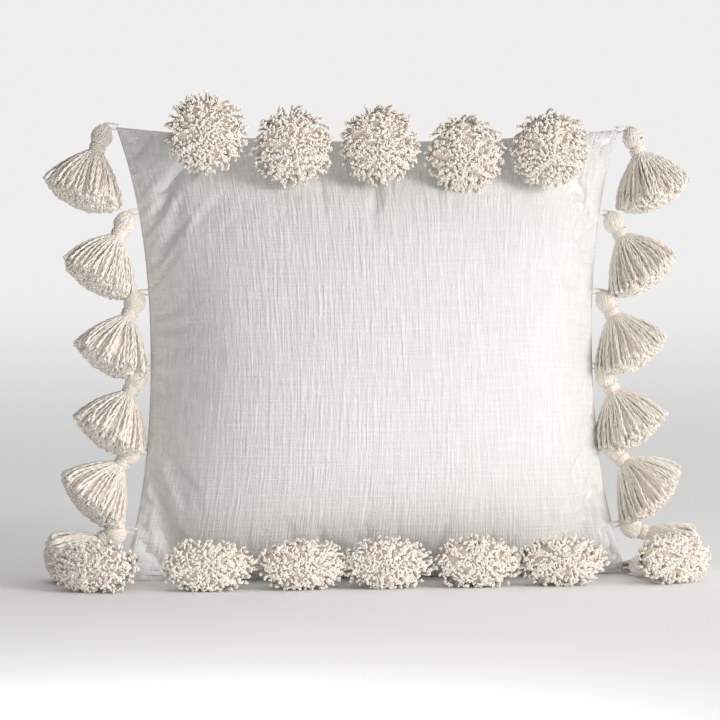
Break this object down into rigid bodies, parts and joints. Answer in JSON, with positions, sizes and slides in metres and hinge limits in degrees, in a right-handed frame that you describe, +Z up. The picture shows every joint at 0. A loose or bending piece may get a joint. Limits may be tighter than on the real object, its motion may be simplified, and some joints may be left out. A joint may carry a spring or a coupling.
{
  "type": "throw pillow",
  "caption": "Square throw pillow in slub cotton with a tassel border, a zipped back and a fibre-filled inner cushion, standing on its lower edge.",
  "frame": {"origin": "on the floor, on the centre line, inside the flat foot that the pillow stands on, 34 mm behind the bottom seam", "axes": "+X to the right of a person who looks at the front, the front faces -Y, +Z up"},
  "size_m": [0.6138, 0.1951, 0.4594],
  "materials": {
    "cover_cotton": "matte",
    "tassel_yarn": "matte",
    "ticking": "matte",
    "fibre": "matte",
    "zip_tape": "matte",
    "zip_teeth": "satin",
    "zip_metal": "satin"
  },
  "bodies": {
    "root": {"front_panel": "cover_cotton", "back_panel_upper": "cover_cotton", "back_panel_lower": "cover_cotton", "insert_ticking": "ticking", "fibre_fill": "fibre", "zip_tape_upper": "zip_tape", "zip_tape_lower": "zip_tape", "zip_teeth": "zip_teeth", "zip_stops": "zip_metal", "hanging_loops": "tassel_yarn"},
    "zip_slider": {"zip_slider": "zip_metal"},
    "zip_pull": {"zip_pull": "zip_metal"},
    "tassel_left_top_corner": {"tassel_left_top_corner": "tassel_yarn", "binding_left_top_corner": "tassel_yarn"},
    "tassel_left_1": {"tassel_left_1": "tassel_yarn", "binding_left_1": "tassel_yarn"},
    "tassel_left_2": {"tassel_left_2": "tassel_yarn", "binding_left_2": "tassel_yarn"},
    "tassel_left_3": {"tassel_left_3": "tassel_yarn", "binding_left_3": "tassel_yarn"},
    "tassel_left_4": {"tassel_left_4": "tassel_yarn", "binding_left_4": "tassel_yarn"},
    "tassel_left_5": {"tassel_left_5": "tassel_yarn", "binding_left_5": "tassel_yarn"},
    "tassel_right_top_corner": {"tassel_right_top_corner": "tassel_yarn", "binding_right_top_corner": "tassel_yarn"},
    "tassel_right_1": {"tassel_right_1": "tassel_yarn", "binding_right_1": "tassel_yarn"},
    "tassel_right_2": {"tassel_right_2": "tassel_yarn", "binding_right_2": "tassel_yarn"},
    "tassel_right_3": {"tassel_right_3": "tassel_yarn", "binding_right_3": "tassel_yarn"},
    "tassel_right_4": {"tassel_right_4": "tassel_yarn", "binding_right_4": "tassel_yarn"},
    "tassel_right_5": {"tassel_right_5": "tassel_yarn", "binding_right_5": "tassel_yarn"},
    "tassel_top_1": {"tassel_top_1": "tassel_yarn", "binding_top_1": "tassel_yarn"},
    "tassel_top_2": {"tassel_top_2": "tassel_yarn", "binding_top_2": "tassel_yarn"},
    "tassel_top_3": {"tassel_top_3": "tassel_yarn", "binding_top_3": "tassel_yarn"},
    "tassel_top_4": {"tassel_top_4": "tassel_yarn", "binding_top_4": "tassel_yarn"},
    "tassel_top_5": {"tassel_top_5": "tassel_yarn", "binding_top_5": "tassel_yarn"},
    "tassel_bottom_left_corner": {"tassel_bottom_left_corner": "tassel_yarn", "binding_bottom_left_corner": "tassel_yarn"},
    "tassel_bottom_1": {"tassel_bottom_1": "tassel_yarn", "binding_bottom_1": "tassel_yarn"},
    "tassel_bottom_2": {"tassel_bottom_2": "tassel_yarn", "binding_bottom_2": "tassel_yarn"},
    "tassel_bottom_3": {"tassel_bottom_3": "tassel_yarn", "binding_bottom_3": "tassel_yarn"},
    "tassel_bottom_4": {"tassel_bottom_4": "tassel_yarn", "binding_bottom_4": "tassel_yarn"},
    "tassel_bottom_5": {"tassel_bottom_5": "tassel_yarn", "binding_bottom_5": "tassel_yarn"},
    "tassel_bottom_right_corner": {"tassel_bottom_right_corner": "tassel_yarn", "binding_bottom_right_corner": "tassel_yarn"}
  },
  "joints": [
    {"name": "zip_slide", "type": "slide", "parent": "root", "child": "zip_slider", "axis": [-1, 0, 0], "range_m": [0, 0.216]},
    {"name": "zip_pull_flip", "type": "hinge", "parent": "zip_slider", "child": "zip_pull", "pos_m": [0.108, 0.07285, 0.128], "axis": [0, 0, -1], "range_deg": [0, 180]},
    {"name": "swing_left_top_corner", "type": "hinge", "parent": "root", "child": "tassel_left_top_corner", "pos_m": [-0.2565, 0.01634, 0.4351], "axis": [0, 0.1149, 0.9934], "range_deg": [-45, 45]},
    {"name": "swing_left_1", "type": "hinge", "parent": "root", "child": "tassel_left_1", "pos_m": [-0.23387, 0.00664, 0.35128], "axis": [0, 0.1149, 0.9934], "range_deg": [-45, 45]},
    {"name": "swing_left_2", "type": "hinge", "parent": "root", "child": "tassel_left_2", "pos_m": [-0.22513, -0.00221, 0.27475], "axis": [0, 0.1149, 0.9934], "range_deg": [-45, 45]},
    {"name": "swing_left_3", "type": "hinge", "parent": "root", "child": "tassel_left_3", "pos_m": [-0.22342, -0.01074, 0.20101], "axis": [0, 0.1149, 0.9934], "range_deg": [-45, 45]},
    {"name": "swing_left_4", "type": "hinge", "parent": "root", "child": "tassel_left_4", "pos_m": [-0.22719, -0.01906, 0.12915], "axis": [0, 0.1149, 0.9934], "range_deg": [-45, 45]},
    {"name": "swing_left_5", "type": "hinge", "parent": "root", "child": "tassel_left_5", "pos_m": [-0.23999, -0.02834, 0.04894], "axis": [0, 0.1149, 0.9934], "range_deg": [-40, 5]},
    {"name": "swing_right_top_corner", "type": "hinge", "parent": "root", "child": "tassel_right_top_corner", "pos_m": [0.2565, 0.01634, 0.4351], "axis": [0, -0.1149, -0.9934], "range_deg": [-45, 45]},
    {"name": "swing_right_1", "type": "hinge", "parent": "root", "child": "tassel_right_1", "pos_m": [0.23387, 0.00664, 0.35128], "axis": [0, -0.1149, -0.9934], "range_deg": [-45, 45]},
    {"name": "swing_right_2", "type": "hinge", "parent": "root", "child": "tassel_right_2", "pos_m": [0.22513, -0.00221, 0.27475], "axis": [0, -0.1149, -0.9934], "range_deg": [-45, 45]},
    {"name": "swing_right_3", "type": "hinge", "parent": "root", "child": "tassel_right_3", "pos_m": [0.22342, -0.01074, 0.20101], "axis": [0, -0.1149, -0.9934], "range_deg": [-45, 45]},
    {"name": "swing_right_4", "type": "hinge", "parent": "root", "child": "tassel_right_4", "pos_m": [0.22719, -0.01906, 0.12915], "axis": [0, -0.1149, -0.9934], "range_deg": [-45, 45]},
    {"name": "swing_right_5", "type": "hinge", "parent": "root", "child": "tassel_right_5", "pos_m": [0.23999, -0.02834, 0.04894], "axis": [0, -0.1149, -0.9934], "range_deg": [-40, 5]},
    {"name": "swing_top_1", "type": "hinge", "parent": "root", "child": "tassel_top_1", "pos_m": [-0.16484, 0.0135, 0.43665], "axis": [-1, 0, 0], "range_deg": [0, 180]},
    {"name": "swing_top_2", "type": "hinge", "parent": "root", "child": "tassel_top_2", "pos_m": [-0.08247, 0.013, 0.4323], "axis": [-1, 0, 0], "range_deg": [0, 180]},
    {"name": "swing_top_3", "type": "hinge", "parent": "root", "child": "tassel_top_3", "pos_m": [0, 0.01283, 0.43085], "axis": [-1, 0, 0], "range_deg": [0, 180]},
    {"name": "swing_top_4", "type": "hinge", "parent": "root", "child": "tassel_top_4", "pos_m": [0.08247, 0.013, 0.4323], "axis": [-1, 0, 0], "range_deg": [0, 180]},
    {"name": "swing_top_5", "type": "hinge", "parent": "root", "child": "tassel_top_5", "pos_m": [0.16484, 0.0135, 0.43665], "axis": [-1, 0, 0], "range_deg": [0, 180]},
    {"name": "swing_bottom_left_corner", "type": "hinge", "parent": "root", "child": "tassel_bottom_left_corner", "pos_m": [-0.247, -0.052, 0.0078], "axis": [0, 0, 1], "range_deg": [-30, 6]},
    {"name": "swing_bottom_1", "type": "hinge", "parent": "root", "child": "tassel_bottom_1", "pos_m": [-0.16467, -0.052, 0.0078], "axis": [0, 0, 1], "range_deg": [-7, 7]},
    {"name": "swing_bottom_2", "type": "hinge", "parent": "root", "child": "tassel_bottom_2", "pos_m": [-0.08233, -0.052, 0.0078], "axis": [0, 0, 1], "range_deg": [-7, 7]},
    {"name": "swing_bottom_3", "type": "hinge", "parent": "root", "child": "tassel_bottom_3", "pos_m": [0, -0.052, 0.0078], "axis": [0, 0, 1], "range_deg": [-7, 7]},
    {"name": "swing_bottom_4", "type": "hinge", "parent": "root", "child": "tassel_bottom_4", "pos_m": [0.08233, -0.052, 0.0078], "axis": [0, 0, 1], "range_deg": [-7, 7]},
    {"name": "swing_bottom_5", "type": "hinge", "parent": "root", "child": "tassel_bottom_5", "pos_m": [0.16467, -0.052, 0.0078], "axis": [0, 0, 1], "range_deg": [-7, 7]},
    {"name": "swing_bottom_right_corner", "type": "hinge", "parent": "root", "child": "tassel_bottom_right_corner", "pos_m": [0.247, -0.052, 0.0078], "axis": [0, 0, 1], "range_deg": [-6, 30]}
  ]
}
